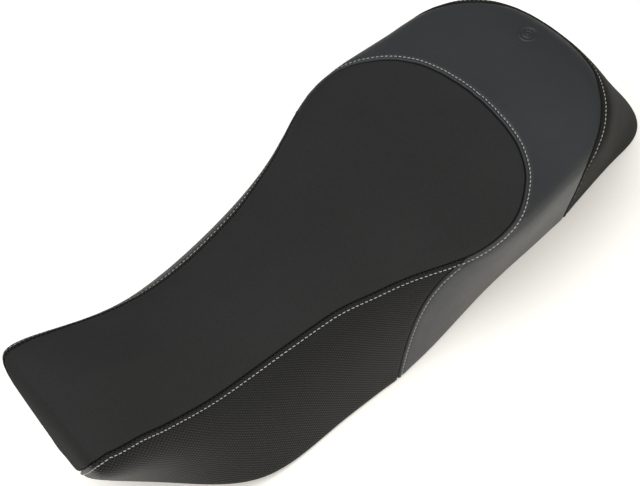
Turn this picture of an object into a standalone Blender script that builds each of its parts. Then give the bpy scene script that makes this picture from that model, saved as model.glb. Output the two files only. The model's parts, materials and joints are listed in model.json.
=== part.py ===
"""Dual motorcycle seat: moulded pan, foam block, five sewn cover panels, front tongue,
lock striker and rubber rests.

Frame: +X is the rider's left, +Y points to the tail, +Z is up.  The origin is the middle
of the footprint, at the level of the pan's lower rim.  All lengths are in metres.
"""
import math

import bmesh
import bpy
import numpy as np
from mathutils import Vector
from mathutils.bvhtree import BVHTree

for old in list(bpy.data.objects):
    bpy.data.objects.remove(old, do_unlink=True)

# ---------------------------------------------------------------- driving dimensions
SEAT_LENGTH = 0.759          # nose to tail, over the cover
SEAT_WIDTH = 0.281           # across the pillion area, the widest place
HEIGHT_FACTOR = 1.0          # scales every height of the profile
GAP = 0.0003                 # clearance between touching pieces
FOAM_GAP = 0.0008            # foam stays this far under the cover panels
LIP_INSET = 0.0027           # pan's lip stays this far inside the outer skin
COVER = 0.0012               # thickness of the cover panels
SEAM_INSET = 0.0002          # each panel stops this far short of its seam line
COVER_LIFT = 0.0015          # panels end this far above the pan's lower rim
FOAM_LIFT = 0.0065           # foam ends this far above the pan's lower rim
PAN = 0.003                  # thickness of the moulded pan
WALL_INSET = 0.014           # pan wall lies this far inside the cover
FLANGE_FOOT = 0.012          # height of the pan wall's foot over the rim

RIB_DEPTH = 0.014            # cross ribs under the pan
RIB_THICKNESS = 0.004
RIB_HALF_SPAN = 0.036
RIB_STATIONS = (-0.120, -0.015, 0.095)

REST_X = 0.052               # rubber rests, left and right of the middle
REST_STATIONS = (-0.175, -0.070, 0.040, 0.150)
REST_RADIUS = 0.010
REST_FLANGE_RADIUS = 0.0125
REST_FLANGE = 0.004
REST_LENGTH = 0.018
REST_STEM_RADIUS = 0.004
REST_STEM = 0.0040
BOSS_DEPTH = 0.002

BOLT_RADIUS = 0.003          # M6 fasteners
BOLT_HEAD_WIDTH = 0.010      # across flats
BOLT_HEAD = 0.004
NUT_HEIGHT = 0.005

TONGUE_THICKNESS = 0.0025    # front tongue, a cranked steel strap
TONGUE_WIDTH = 0.040
TONGUE_DROP = 0.027
TONGUE_REACH = 0.043
TONGUE_FOOT = 0.046
TONGUE_Y = -0.300            # middle of its bolted foot
TONGUE_BOLT_X = 0.012

STRIKER_Y = 0.265            # lock striker near the tail
STRIKER_PLATE = (0.076, 0.034, 0.0025)
STRIKER_BOLT_X = 0.030
STRIKER_BAR_RADIUS = 0.004
STRIKER_HALF_GAP = 0.015
STRIKER_DROP = 0.034

PAD_MARGIN = 0.005           # moulded pads stand this far past the plates on them
PAD_DEPTH = 0.004

# Loft stations from the middle of the nose, round one flank, to the middle of the tail.
# spine y, z | shoulder x, y, z | lower edge x, y, z | flank bulge | shoulder radius | deck z
NOMINAL_LENGTH = 0.759
NOMINAL_WIDTH = 0.281
STATIONS = (
    (0.051, 0.198, 0.000, 0.029, 0.196, 0.000, 0.027, 0.085, 0.000, 0.022, 0.114),
    (0.051, 0.198, 0.078, 0.029, 0.196, 0.026, 0.027, 0.085, 0.000, 0.022, 0.114),
    (0.083, 0.197, 0.104, 0.025, 0.200, 0.040, 0.034, 0.086, 0.000, 0.022, 0.114),
    (0.121, 0.173, 0.093, 0.088, 0.171, 0.073, 0.087, 0.056, 0.002, 0.022, 0.104),
    (0.186, 0.132, 0.078, 0.182, 0.122, 0.129, 0.164, 0.000, 0.005, 0.022, 0.077),
    (0.293, 0.136, 0.088, 0.298, 0.131, 0.121, 0.266, 0.002, 0.005, 0.022, 0.074),
    (0.390, 0.154, 0.108, 0.392, 0.143, 0.132, 0.372, 0.000, 0.003, 0.022, 0.080),
    (0.471, 0.157, 0.156, 0.464, 0.149, 0.110, 0.490, 0.000, 0.002, 0.013, 0.084),
    (0.518, 0.154, 0.142, 0.579, 0.145, 0.113, 0.606, 0.000, 0.001, 0.013, 0.084),
    (0.546, 0.155, 0.136, 0.662, 0.154, 0.090, 0.710, 0.000, 0.000, 0.013, 0.082),
    (0.546, 0.155, 0.068, 0.702, 0.160, 0.094, 0.786, 0.000, -0.004, 0.013, 0.082),
    (0.546, 0.155, 0.000, 0.702, 0.160, 0.000, 0.786, 0.000, -0.004, 0.013, 0.082),
)

# Seam lines in loft coordinates: t runs nose to tail, v runs spine to lower edge.
# Top seam: from the lower edge beside the nose, along the shoulder, round the pillion area.
TOP_SEAM = (
    (0.038, 1.000), (0.048, 0.850), (0.058, 0.630), (0.071, 0.490), (0.086, 0.406), (0.100, 0.362),
    (0.130, 0.315), (0.190, 0.325), (0.240, 0.380),
    (0.320, 0.425), (0.400, 0.420), (0.455, 0.420), (0.520, 0.470), (0.630, 0.490), (0.690, 0.420),
    (0.750, 0.262), (0.800, 0.156), (0.850, 0.091), (0.900, 0.058), (0.950, 0.045), (1.000, 0.041),
)
TOP_SEAM_START = TOP_SEAM[0][0]
# Flank seam: t at four control points, from the top seam down to the lower edge.
FLANK_SEAM_T = (0.631, 0.573, 0.544, 0.526)
# Tail seam: up the flank from TAIL_SEAM_START, then round the pillion area's edge.
TAIL_SEAM_START = 0.786
TAIL_SEAM = (
    (0.806, 0.600), (0.825, 0.510), (0.860, 0.440), (0.900, 0.420), (0.930, 0.435), (0.965, 0.500), (1.000, 0.530),
)
TAIL_CORNER = TAIL_SEAM[0]

NOSE_CELLS = 3               # mesh cells along each stretch of the outline
FLANK_CELLS = 14
WRAP_CELLS = 5
TAIL_CELLS = 7
TOP_CELLS = 7                # mesh cells from the spine to the top seam
SIDE_CELLS = 6               # and from the top seam to the lower edge
CORNER_ROW = 3               # the row that meets the tail seam's corner


# ---------------------------------------------------------------- the lofted skin
def spline_weights(count, t):
    """Weights of a clamped uniform cubic B-spline with `count` control points."""
    degree = 3
    spans = count - degree
    knots = [0.0] * degree + [k / spans for k in range(spans + 1)] + [1.0] * degree
    t = min(max(t, 0.0), 1.0 - 1e-9)
    weights = [1.0 if knots[i] <= t < knots[i + 1] else 0.0 for i in range(len(knots) - 1)]
    for p in range(1, degree + 1):
        nxt = []
        for i in range(len(weights) - 1):
            left = knots[i + p] - knots[i]
            right = knots[i + p + 1] - knots[i + 1]
            value = 0.0
            if left > 0:
                value += (t - knots[i]) / left * weights[i]
            if right > 0:
                value += (knots[i + p + 1] - t) / right * weights[i + 1]
            nxt.append(value)
        weights = nxt
    return np.array(weights)


def smooth_table(xs, ys, x):
    """Monotone cubic through named points."""
    xs = np.array(xs)
    ys = np.array(ys)
    step = np.diff(xs)
    slope = np.diff(ys) / step
    tangent = np.zeros(len(xs))
    for k in range(1, len(xs) - 1):
        if slope[k - 1] * slope[k] > 0:
            a = 2 * step[k] + step[k - 1]
            b = step[k] + 2 * step[k - 1]
            tangent[k] = (a + b) / (a / slope[k - 1] + b / slope[k])
    tangent[0] = slope[0]
    tangent[-1] = slope[-1]
    x = min(max(x, xs[0]), xs[-1])
    k = min(int(np.searchsorted(xs, x, side="right")) - 1, len(step) - 1)
    u = (x - xs[k]) / step[k]
    h00 = 2 * u ** 3 - 3 * u ** 2 + 1
    h10 = u ** 3 - 2 * u ** 2 + u
    h01 = -2 * u ** 3 + 3 * u ** 2
    h11 = u ** 3 - u ** 2
    return float(h00 * ys[k] + h10 * step[k] * tangent[k] + h01 * ys[k + 1] + h11 * step[k] * tangent[k + 1])


def control_net():
    stretch = SEAT_LENGTH / NOMINAL_LENGTH
    widen = SEAT_WIDTH / NOMINAL_WIDTH
    tall = HEIGHT_FACTOR
    rows = []
    for yc, zc, xs, ys, zs, xb, yb, zb, bulge, radius, _deck in STATIONS:
        spine = np.array([0.0, yc * stretch, zc * tall])
        shoulder = np.array([xs * widen, ys * stretch, zs * tall])
        foot = np.array([xb * widen, yb * stretch, zb * tall])
        crown = spine + 0.55 * (shoulder - spine)
        crown[2] = spine[2] + 0.4 * (shoulder[2] - spine[2])
        away = shoulder - spine
        away[2] = 0.0
        away /= np.linalg.norm(away)
        flank = shoulder + 0.55 * (foot - shoulder) + away * bulge
        inward = (crown - shoulder) / np.linalg.norm(crown - shoulder)
        down = (flank - shoulder) / np.linalg.norm(flank - shoulder)
        inner = min(radius, 0.8 * np.linalg.norm(crown - shoulder))
        rows.append([spine, crown, shoulder + inward * inner, shoulder + down * radius, flank, foot])
    return np.array(rows)


NET = control_net()
DECK = np.array([row[-1] for row in STATIONS]) * HEIGHT_FACTOR


def raw_point(t, v):
    return np.einsum("i,j,ijk->k", spline_weights(len(NET), t), spline_weights(6, v), NET)


EDGE_SAMPLES = [raw_point(k / 80, 1.0) for k in range(81)]
REACH = [raw_point(i / 120, j / 24)[1] for i in range(121) for j in range(8, 25)]
SHIFT = np.array([0.0, -(min(REACH) + max(REACH)) / 2, -min(p[2] for p in EDGE_SAMPLES)])


def skin(t, v):
    return raw_point(t, v) + SHIFT


def skin_normal(t, v):
    t = min(max(t, 0.004), 0.996)
    v = min(max(v, 0.01), 0.99)
    step = 0.002
    along = skin(t + step, v) - skin(t - step, v)
    across = skin(t, v + step) - skin(t, v - step)
    n = np.cross(across, along)
    return n / np.linalg.norm(n)


def top_seam(t):
    return smooth_table([p[0] for p in TOP_SEAM], [p[1] for p in TOP_SEAM], t)


def flank_seam(b):
    w = [(1 - b) ** 3, 3 * b * (1 - b) ** 2, 3 * b * b * (1 - b), b ** 3]
    return sum(wi * ti for wi, ti in zip(w, FLANK_SEAM_T))


def tail_seam(t):
    return smooth_table([p[0] for p in TAIL_SEAM], [p[1] for p in TAIL_SEAM], t)


def tail_seam_t(v):
    """The tail seam's flank part, from the lower edge up to its corner."""
    rise = (1 - v) / (1 - TAIL_CORNER[1])
    return TAIL_SEAM_START + (TAIL_CORNER[0] - TAIL_SEAM_START) * rise ** 2


def outline_steps():
    """t values along the top seam: nose, flank, pillion wrap, tail."""
    nose = [TOP_SEAM_START * k / NOSE_CELLS for k in range(NOSE_CELLS)]
    reach = FLANK_SEAM_T[0] - TOP_SEAM_START
    flank = [TOP_SEAM_START + reach * (k / FLANK_CELLS) ** 1.4 for k in range(FLANK_CELLS)]
    wrap = [FLANK_SEAM_T[0] + (TAIL_CORNER[0] - FLANK_SEAM_T[0]) * k / WRAP_CELLS for k in range(WRAP_CELLS)]
    tail = [TAIL_CORNER[0] + (1 - TAIL_CORNER[0]) * k / TAIL_CELLS for k in range(TAIL_CELLS + 1)]
    return nose, flank, wrap, tail


NOSE_T, FLANK_T, WRAP_T, TAIL_T = outline_steps()


def between(a, b, share):
    return a + (b - a) * share


def centre_grid():
    """Loft coordinates of the centre panel, one side of the spine."""
    return [[(t, top_seam(t) * j / TOP_CELLS) for j in range(TOP_CELLS + 1)]
            for t in NOSE_T + FLANK_T + WRAP_T + TAIL_T]


def side_grid():
    """Front side panel: from the nose corner to the flank seam."""
    columns = []
    for t0 in FLANK_T + [FLANK_SEAM_T[0]]:
        share = (t0 - TOP_SEAM_START) / (FLANK_SEAM_T[0] - TOP_SEAM_START)
        column = []
        for j in range(SIDE_CELLS + 1):
            b = j / SIDE_CELLS
            t = between(TOP_SEAM_START, flank_seam(b), share)
            column.append((t, between(top_seam(t), 1.0, b)))
        columns.append(column)
    return columns


def corner_column():
    """The rear panel's last full column: straight to the corner, then down the tail seam."""
    column = []
    for j in range(SIDE_CELLS + 1):
        if j <= CORNER_ROW:
            v = between(top_seam(TAIL_CORNER[0]), TAIL_CORNER[1], j / CORNER_ROW)
            column.append((TAIL_CORNER[0], v))
        else:
            v = between(TAIL_CORNER[1], 1.0, (j - CORNER_ROW) / (SIDE_CELLS - CORNER_ROW))
            column.append((tail_seam_t(v), v))
    return column


def wrap_grid():
    """Rear panel's flank: from the flank seam to the tail seam."""
    columns = []
    last = corner_column()
    for k in range(WRAP_CELLS + 1):
        share = k / WRAP_CELLS
        column = []
        for j, (t_end, v_end) in enumerate(last):
            b = j / SIDE_CELLS
            b_end = (v_end - top_seam(t_end)) / (1 - top_seam(t_end))
            t = between(flank_seam(b), t_end, share)
            column.append((t, between(top_seam(t), 1.0, between(b, b_end, share))))
        columns.append(column)
    return columns


def round_grid():
    """Rear panel's strip round the back of the pillion area."""
    return [[(t, between(top_seam(t), tail_seam(t), j / CORNER_ROW)) for j in range(CORNER_ROW + 1)]
            for t in TAIL_T]


def tail_grid():
    """Tail panel: from the tail seam down to the lower edge."""
    rows = SIDE_CELLS - CORNER_ROW
    first = corner_column()[CORNER_ROW:]
    columns = []
    for t0 in TAIL_T:
        share = (t0 - TAIL_CORNER[0]) / (1 - TAIL_CORNER[0])
        column = []
        for j in range(rows + 1):
            t = between(first[j][0], 1.0, share)
            column.append((t, between(tail_seam(t), 1.0, j / rows)))
        columns.append(column)
    return columns


def layer(grid, depth, trim):
    """Points of a grid at a depth below the skin; `trim` lifts rows that end on the lower edge."""
    rows = []
    for column in grid:
        points = []
        for t, v in column:
            n = skin_normal(t, v)
            p = skin(t, v) - n * depth
            if abs(t - 1.0) < 1e-9 or t < 1e-9 or v < 1e-9:
                p[0] = 0.0
            points.append(p)
        if column[-1][1] > 1 - 1e-9:
            corner = column[0][1] > 1 - 1e-9
            t = column[-1][0]
            above = points[-2]
            if corner:
                v = 1 - 1 / TOP_CELLS
                above = skin(t, v) - skin_normal(t, v) * depth
            rise = (above - points[-1]) / np.linalg.norm(above - points[-1])
            lifted = points[-1] + rise * trim
            points = [lifted] * len(points) if corner else points[:-1] + [lifted]
        rows.append(points)
    return np.array(rows)


# ---------------------------------------------------------------- mesh building
def material(name, colour, roughness, metallic=0.0):
    mat = bpy.data.materials.new(name)
    mat.use_nodes = True
    shader = mat.node_tree.nodes["Principled BSDF"]
    shader.inputs["Base Color"].default_value = (*colour, 1.0)
    shader.inputs["Roughness"].default_value = roughness
    shader.inputs["Metallic"].default_value = metallic
    return mat


def finish(name, bm, mat, smooth=True):
    bmesh.ops.remove_doubles(bm, verts=bm.verts, dist=1e-6)
    bmesh.ops.dissolve_degenerate(bm, dist=1e-7, edges=bm.edges)
    bmesh.ops.triangulate(bm, faces=[f for f in bm.faces if len(f.verts) > 4])
    bmesh.ops.recalc_face_normals(bm, faces=bm.faces)
    mesh = bpy.data.meshes.new(name)
    bm.to_mesh(mesh)
    bm.free()
    obj = bpy.data.objects.new(name, mesh)
    bpy.context.collection.objects.link(obj)
    mesh.materials.append(mat)
    if smooth:
        mesh.shade_smooth()
        mesh.set_sharp_from_angle(angle=math.radians(40))
    return obj


def add_patch(bm, points, mirror=False):
    """Triangles over a grid of points, with one fixed diagonal; returns the vertex grid."""
    side = -1.0 if mirror else 1.0
    grid = [[bm.verts.new((p[0] * side, p[1], p[2])) for p in row] for row in points]
    for i in range(len(grid) - 1):
        for j in range(len(grid[0]) - 1):
            a, b = grid[i][j], grid[i + 1][j]
            c, d = grid[i + 1][j + 1], grid[i][j + 1]
            on_middle = max(abs(vert.co.x) for vert in (a, b, c)) < 1e-7
            pair = ((a, b, d), (b, c, d)) if on_middle else ((a, b, c), (a, c, d))
            for tri in pair:
                bm.faces.new(tri)
    return grid


def loft_key(t, v, mirror):
    """One key per surface point; both halves share the points on the middle plane."""
    middle = v < 1e-9 or t < 1e-9 or t > 1 - 1e-9
    return (round(t, 7), round(v, 7), 0 if middle else (-1 if mirror else 1))


def seam_pull(points, triangles, free):
    """Move of each border point away from its seam; borders on the lower edge stay."""
    owner = {}
    for tri in triangles:
        for k in range(3):
            edge = (tri[k], tri[(k + 1) % 3])
            owner.setdefault(frozenset(edge), []).append((edge, tri[(k + 2) % 3]))
    borders = [uses[0] for uses in owner.values() if len(uses) == 1]
    pull = {}
    for (a, b), c in borders:
        if a in free and b in free:
            continue
        edge = points[b] - points[a]
        edge = edge / np.linalg.norm(edge)
        inward = points[c] - points[a]
        inward = inward - edge * inward.dot(edge)
        inward = inward / np.linalg.norm(inward)
        for corner in (a, b):
            pull[corner] = pull.get(corner, np.zeros(3)) + inward
    moved = {}
    for key, total in pull.items():
        size = np.linalg.norm(total)
        moved[key] = total / max(size, 1.0) * SEAM_INSET * (2.0 / max(size, 1.0) if size > 1.0 else 1.0)
    return [edge for edge, _c in borders], moved


def shell(name, grids, mat, mirrored):
    """A cover panel: outer skin, inner skin and the edges between them."""
    outer = {}
    inner = {}
    triangles = []
    free = set()
    for grid in grids:
        skins = (layer(grid, 0.0, COVER_LIFT), layer(grid, COVER, COVER_LIFT))
        for mirror in mirrored:
            side = np.array([-1.0 if mirror else 1.0, 1.0, 1.0])
            keys = [[loft_key(t, v, mirror) for t, v in column] for column in grid]
            for i, column in enumerate(keys):
                for j, key in enumerate(column):
                    outer[key] = skins[0][i][j] * side
                    inner[key] = skins[1][i][j] * side
                    if grid[i][j][1] > 1 - 1e-9:
                        free.add(key)
            for i in range(len(keys) - 1):
                for j in range(len(keys[0]) - 1):
                    a, b, c, d = keys[i][j], keys[i + 1][j], keys[i + 1][j + 1], keys[i][j + 1]
                    on_middle = a[2] == 0 and b[2] == 0 and c[2] == 0
                    pair = ((a, b, d), (b, c, d)) if on_middle else ((a, b, c), (a, c, d))
                    triangles += [tri for tri in pair if len(set(tri)) == 3]
    borders, moved = seam_pull(outer, triangles, free)
    bm = bmesh.new()
    verts = {}
    for key in outer:
        shift = moved.get(key, np.zeros(3))
        top = outer[key] + shift
        low = inner[key] + shift
        if key[2] == 0:
            top[0] = 0.0
            low[0] = 0.0
        verts[key] = (bm.verts.new(top), bm.verts.new(low))
    for a, b, c in triangles:
        bm.faces.new((verts[a][0], verts[b][0], verts[c][0]))
        bm.faces.new((verts[c][1], verts[b][1], verts[a][1]))
    for a, b in borders:
        bm.faces.new((verts[a][0], verts[a][1], verts[b][1]))
        bm.faces.new((verts[a][0], verts[b][1], verts[b][0]))
    return finish(name, bm, mat)


# ---------------------------------------------------------------- pan and foam profiles
def flank_at_height(t, z):
    """Skin point on the flank of one station at height z, with its horizontal outward direction."""
    low, high = 0.45, 1.0
    for _ in range(24):
        mid = (low + high) / 2
        if skin(t, mid)[2] > z:
            low = mid
        else:
            high = mid
    p = skin(t, low)
    n = skin_normal(t, low)
    n[2] = 0.0
    if t < 1e-9 or t > 1 - 1e-9:
        n[0] = 0.0
    n /= np.linalg.norm(n)
    return p, n


def pan_profile(t):
    """Upper and lower outlines of the pan from the spine to the rim, and the foam's underside."""
    spine = skin(t, 0.0)
    deck = float(spline_weights(len(DECK), t).dot(DECK)) + SHIFT[2]
    rim, out = flank_at_height(t, skin(t, 1.0)[2] + 1e-5)
    rim = skin(t, 1.0)
    if t < 1e-9 or t > 1 - 1e-9:
        rim[0] = 0.0
    foot_z = rim[2] + FLANGE_FOOT
    wall = []
    for share in (0.0, 0.34, 0.68, 1.0):
        z = deck + (foot_z - deck) * share
        p, n = flank_at_height(t, z)
        wall.append((np.array([p[0], p[1], z]) - n * WALL_INSET, n))
    edge = wall[0][0]
    mid = np.array([edge[0] * 0.5, (edge[1] + spine[1]) * 0.5, deck])
    centre = np.array([0.0, spine[1], deck])
    lip = rim - out * LIP_INSET
    above, above_out = flank_at_height(t, rim[2] + PAN)
    lip_top = above - above_out * LIP_INSET
    slack = float((lip_top - lip).dot(out))
    if slack > 0:
        lip_top = lip_top - out * slack
    upper = [centre, mid] + [w[0] for w in wall]
    foot_inset = float((rim - wall[-1][0]).dot(out))
    heel_inset = min(max(foot_inset, 0.006), WALL_INSET - 0.0015)
    heel = np.array([rim[0], rim[1], 0.0]) - out * heel_inset
    upper.append(np.array([heel[0], heel[1], rim[2] + PAN]))
    upper.append(np.array([lip_top[0], lip_top[1], rim[2] + PAN]))
    drop = np.array([0.0, 0.0, PAN])
    lower = [centre - drop, mid - drop, wall[0][0] - wall[0][1] * PAN - drop]
    lower += [w - n * PAN for w, n in wall[1:]]
    toe = np.array([rim[0], rim[1], 0.0]) - out * (heel_inset + PAN)
    lower.append(np.array([toe[0], toe[1], rim[2]]))
    lower.append(np.array([lip[0], lip[1], rim[2]]))
    up = np.array([0.0, 0.0, GAP])
    under = [centre + up, mid + up]
    under += [w + n * (GAP * 1.7) + up for w, n in wall]
    under.append(np.array([heel[0], heel[1], rim[2] + PAN + 0.0025]) + out * 0.0007)
    for line in (upper, lower, under):
        if t < 1e-9 or t > 1 - 1e-9:
            for p in line:
                p[0] = 0.0
    return upper, lower, under


def lower_edge_steps():
    """t values of the points where the cover's grids reach the lower edge."""
    flank = [column[-1][0] for column in side_grid()][:-1]
    wrap = [column[-1][0] for column in wrap_grid()][:-1]
    tail = [column[-1][0] for column in tail_grid()]
    return NOSE_T + flank + wrap + tail


EDGE_T = lower_edge_steps()
PROFILES = [pan_profile(t) for t in EDGE_T]


def pan_body(mat):
    bm = bmesh.new()
    for mirror in (False, True):
        upper = np.array([p[0] for p in PROFILES])
        lower = np.array([p[1] for p in PROFILES])
        add_patch(bm, upper, mirror)
        add_patch(bm, lower, mirror)
        side = -1.0 if mirror else 1.0
        for i in range(len(upper) - 1):
            quad = [upper[i][-1], upper[i + 1][-1], lower[i + 1][-1], lower[i][-1]]
            verts = [bm.verts.new((p[0] * side, p[1], p[2])) for p in quad]
            bm.faces.new(verts[:3])
            bm.faces.new((verts[0], verts[2], verts[3]))
    return finish("seat_pan", bm, mat)


def foam_body(mat):
    depth = COVER + FOAM_GAP
    bm = bmesh.new()
    patches = [layer(grid, depth, FOAM_LIFT) for grid in
               (centre_grid(), side_grid(), wrap_grid(), round_grid(), tail_grid())]
    centre, flank, wrap, _round, tail = patches
    rim_points = [centre[i][-1] for i in range(NOSE_CELLS)]
    rim_points += [row[-1] for row in flank[:-1]]
    rim_points += [row[-1] for row in wrap[:-1]]
    rim_points += [row[-1] for row in tail]
    under = np.array([p[2] for p in PROFILES])
    skirt = np.concatenate([under, np.array(rim_points)[:, None, :]], axis=1)
    for mirror in (False, True):
        for patch in patches + [skirt]:
            add_patch(bm, patch, mirror)
    return finish("foam_cushion", bm, mat)


# ---------------------------------------------------------------- small solids
def box(name, size, centre, mat=None):
    bm = bmesh.new()
    bmesh.ops.create_cube(bm, size=1.0)
    bmesh.ops.scale(bm, vec=Vector(size), verts=bm.verts)
    bmesh.ops.translate(bm, vec=Vector(centre), verts=bm.verts)
    return finish(name, bm, mat or STEEL, smooth=False)


def turned(bm, profile, segments, centre):
    """A solid of revolution about a vertical axis from (radius, z) points, open ends closed."""
    rings = []
    for radius, z in profile:
        ring = []
        for k in range(segments):
            a = 2 * math.pi * k / segments
            ring.append(bm.verts.new((centre[0] + radius * math.cos(a), centre[1] + radius * math.sin(a), z)))
        rings.append(ring)
    for low, high in zip(rings, rings[1:]):
        for k in range(segments):
            bm.faces.new((low[k], low[(k + 1) % segments], high[(k + 1) % segments], high[k]))
    bm.faces.new(rings[0])
    bm.faces.new(rings[-1])


def cylinder(name, radius, low, high, centre, segments=24, mat=None):
    bm = bmesh.new()
    turned(bm, [(radius, low), (radius, high)], segments, centre)
    return finish(name, bm, mat or STEEL, smooth=False)


def apply_boolean(target, tools, operation):
    """Combine `target` with each tool, then remove the tools."""
    for tool in tools:
        mod = target.modifiers.new("cut", "BOOLEAN")
        mod.operation = operation
        mod.solver = "EXACT"
        mod.object = tool
        graph = bpy.context.evaluated_depsgraph_get()
        mesh = bpy.data.meshes.new_from_object(target.evaluated_get(graph))
        target.modifiers.clear()
        old_mesh = target.data
        target.data = mesh
        bpy.data.meshes.remove(old_mesh)
        bpy.data.objects.remove(tool, do_unlink=True)


def tidy(obj):
    """Close up slivers left by the cuts."""
    bm = bmesh.new()
    bm.from_mesh(obj.data)
    bmesh.ops.remove_doubles(bm, verts=bm.verts, dist=2e-6)
    bmesh.ops.dissolve_degenerate(bm, dist=1e-6, edges=bm.edges)
    bmesh.ops.triangulate(bm, faces=bm.faces)
    bm.to_mesh(obj.data)
    bm.free()


def tree_of(obj):
    bm = bmesh.new()
    bm.from_mesh(obj.data)
    tree = BVHTree.FromBMesh(bm)
    bm.free()
    return tree


def underside(tree, x, y):
    hit = tree.ray_cast(Vector((x, y, -0.05)), Vector((0, 0, 1)))
    return hit[0].z


def topside(tree, x, y):
    hit = tree.ray_cast(Vector((x, y, 0.5)), Vector((0, 0, -1)))
    return hit[0].z


def footprint(x, y, half_x, half_y):
    return [(x + half_x * i, y + half_y * j) for i in (-1, 0, 1) for j in (-1, 0, 1)]


# ---------------------------------------------------------------- materials
GRIP = material("centre_grip_vinyl", (0.030, 0.031, 0.030), 0.62)
SMOOTH = material("rear_smooth_vinyl", (0.040, 0.042, 0.045), 0.42)
TAIL = material("tail_smooth_vinyl", (0.028, 0.028, 0.027), 0.45)
WEAVE = material("side_embossed_vinyl", (0.034, 0.034, 0.033), 0.38)
FOAM = material("foam", (0.16, 0.16, 0.15), 0.9)
PLASTIC = material("pan_plastic", (0.014, 0.014, 0.015), 0.5)
RUBBER = material("rest_rubber", (0.012, 0.012, 0.012), 0.8)
STEEL = material("plated_steel", (0.60, 0.58, 0.52), 0.32, 1.0)
BLACK_STEEL = material("black_steel", (0.02, 0.02, 0.022), 0.45, 0.6)

# ---------------------------------------------------------------- cover panels
LEFT = (False,)
RIGHT = (True,)
BOTH = (False, True)
shell("centre_panel", [centre_grid()], GRIP, BOTH)
shell("left_side_panel", [side_grid()], WEAVE, LEFT)
shell("right_side_panel", [side_grid()], WEAVE, RIGHT)
shell("rear_panel", [wrap_grid(), round_grid()], SMOOTH, BOTH)
shell("tail_panel", [tail_grid()], TAIL, BOTH)

# ---------------------------------------------------------------- pan, ribs, pads, bosses
pan = pan_body(PLASTIC)
tree = tree_of(pan)

unions = []
for k, y in enumerate(RIB_STATIONS):
    roof = min(underside(tree, x, yy) for x, yy in footprint(0.0, y, RIB_HALF_SPAN, RIB_THICKNESS / 2))
    top = roof + PAN * 0.5
    unions.append(box("rib_tool", (2 * RIB_HALF_SPAN, RIB_THICKNESS, top - roof + RIB_DEPTH),
                      (0.0, y, (top + roof - RIB_DEPTH) / 2)))


def pad(x_size, y_size, y):
    """A flat moulded pad through the deck; returns its tool, underside and top heights."""
    half_x = x_size / 2 + PAD_MARGIN
    half_y = y_size / 2 + PAD_MARGIN
    spots = footprint(0.0, y, half_x, half_y)
    low = min(underside(tree, a, b) for a, b in spots) - PAD_DEPTH + 0.002
    high = max(topside(tree, a, b) for a, b in spots) + 0.001
    tool = box("pad_tool", (2 * half_x, 2 * half_y, high - low), (0.0, y, (low + high) / 2))
    return tool, low, high, half_x, half_y


tongue_tool, TONGUE_TOP, TONGUE_PAD_TOP, TONGUE_HX, TONGUE_HY = pad(TONGUE_WIDTH, TONGUE_FOOT, TONGUE_Y)
striker_tool, STRIKER_TOP, STRIKER_PAD_TOP, STRIKER_HX, STRIKER_HY = pad(
    STRIKER_PLATE[0], STRIKER_PLATE[1], STRIKER_Y)
unions += [tongue_tool, striker_tool]

rests = []
for y in REST_STATIONS:
    for side, word in ((1, "left"), (-1, "right")):
        x = side * REST_X
        spots = footprint(x, y, REST_FLANGE_RADIUS, REST_FLANGE_RADIUS)
        low = min(underside(tree, a, b) for a, b in spots)
        rests.append((x, y, low - BOSS_DEPTH, word))
        unions.append(cylinder("boss_tool", REST_FLANGE_RADIUS + 0.002, low - BOSS_DEPTH, low + PAN * 0.5, (x, y), 16))
apply_boolean(pan, unions, "UNION")

cuts = []
for x, y, z, _word in rests:
    cuts.append(cylinder("stem_hole", REST_STEM_RADIUS + GAP * 1.4, z - 0.01, z + REST_STEM + GAP, (x, y), 12))
BOLTS = [("tongue", TONGUE_BOLT_X, TONGUE_Y, TONGUE_TOP, TONGUE_PAD_TOP, TONGUE_THICKNESS),
         ("striker", STRIKER_BOLT_X, STRIKER_Y, STRIKER_TOP, STRIKER_PAD_TOP, STRIKER_PLATE[2])]
for _name, bx, by, low, high, _thick in BOLTS:
    for side in (1, -1):
        cuts.append(cylinder("bolt_hole", BOLT_RADIUS + GAP * 1.2, low - 0.01, high + 0.01, (side * bx, by)))
apply_boolean(pan, cuts, "DIFFERENCE")
tidy(pan)

# ---------------------------------------------------------------- foam
foam = foam_body(FOAM)
pockets = []
for _name, bx, by, low, high, _thick in BOLTS:
    half_x = TONGUE_HX if _name == "tongue" else STRIKER_HX
    half_y = TONGUE_HY if _name == "tongue" else STRIKER_HY
    pockets.append(box("pad_pocket", (2 * half_x + 2 * GAP, 2 * half_y + 2 * GAP, high + GAP - low + 0.01),
                       (0.0, by, (high + GAP + low - 0.01) / 2)))
    for side in (1, -1):
        pockets.append(cylinder("nut_pocket", BOLT_HEAD_WIDTH * 0.75, high - 0.002, high + NUT_HEIGHT + 0.004,
                                (side * bx, by)))
apply_boolean(foam, pockets, "DIFFERENCE")
tidy(foam)


# ---------------------------------------------------------------- hardware
def hexagon(bm, width, low, high, centre):
    turned(bm, [(width / math.sqrt(3), low), (width / math.sqrt(3), high)], 6, centre)


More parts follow.
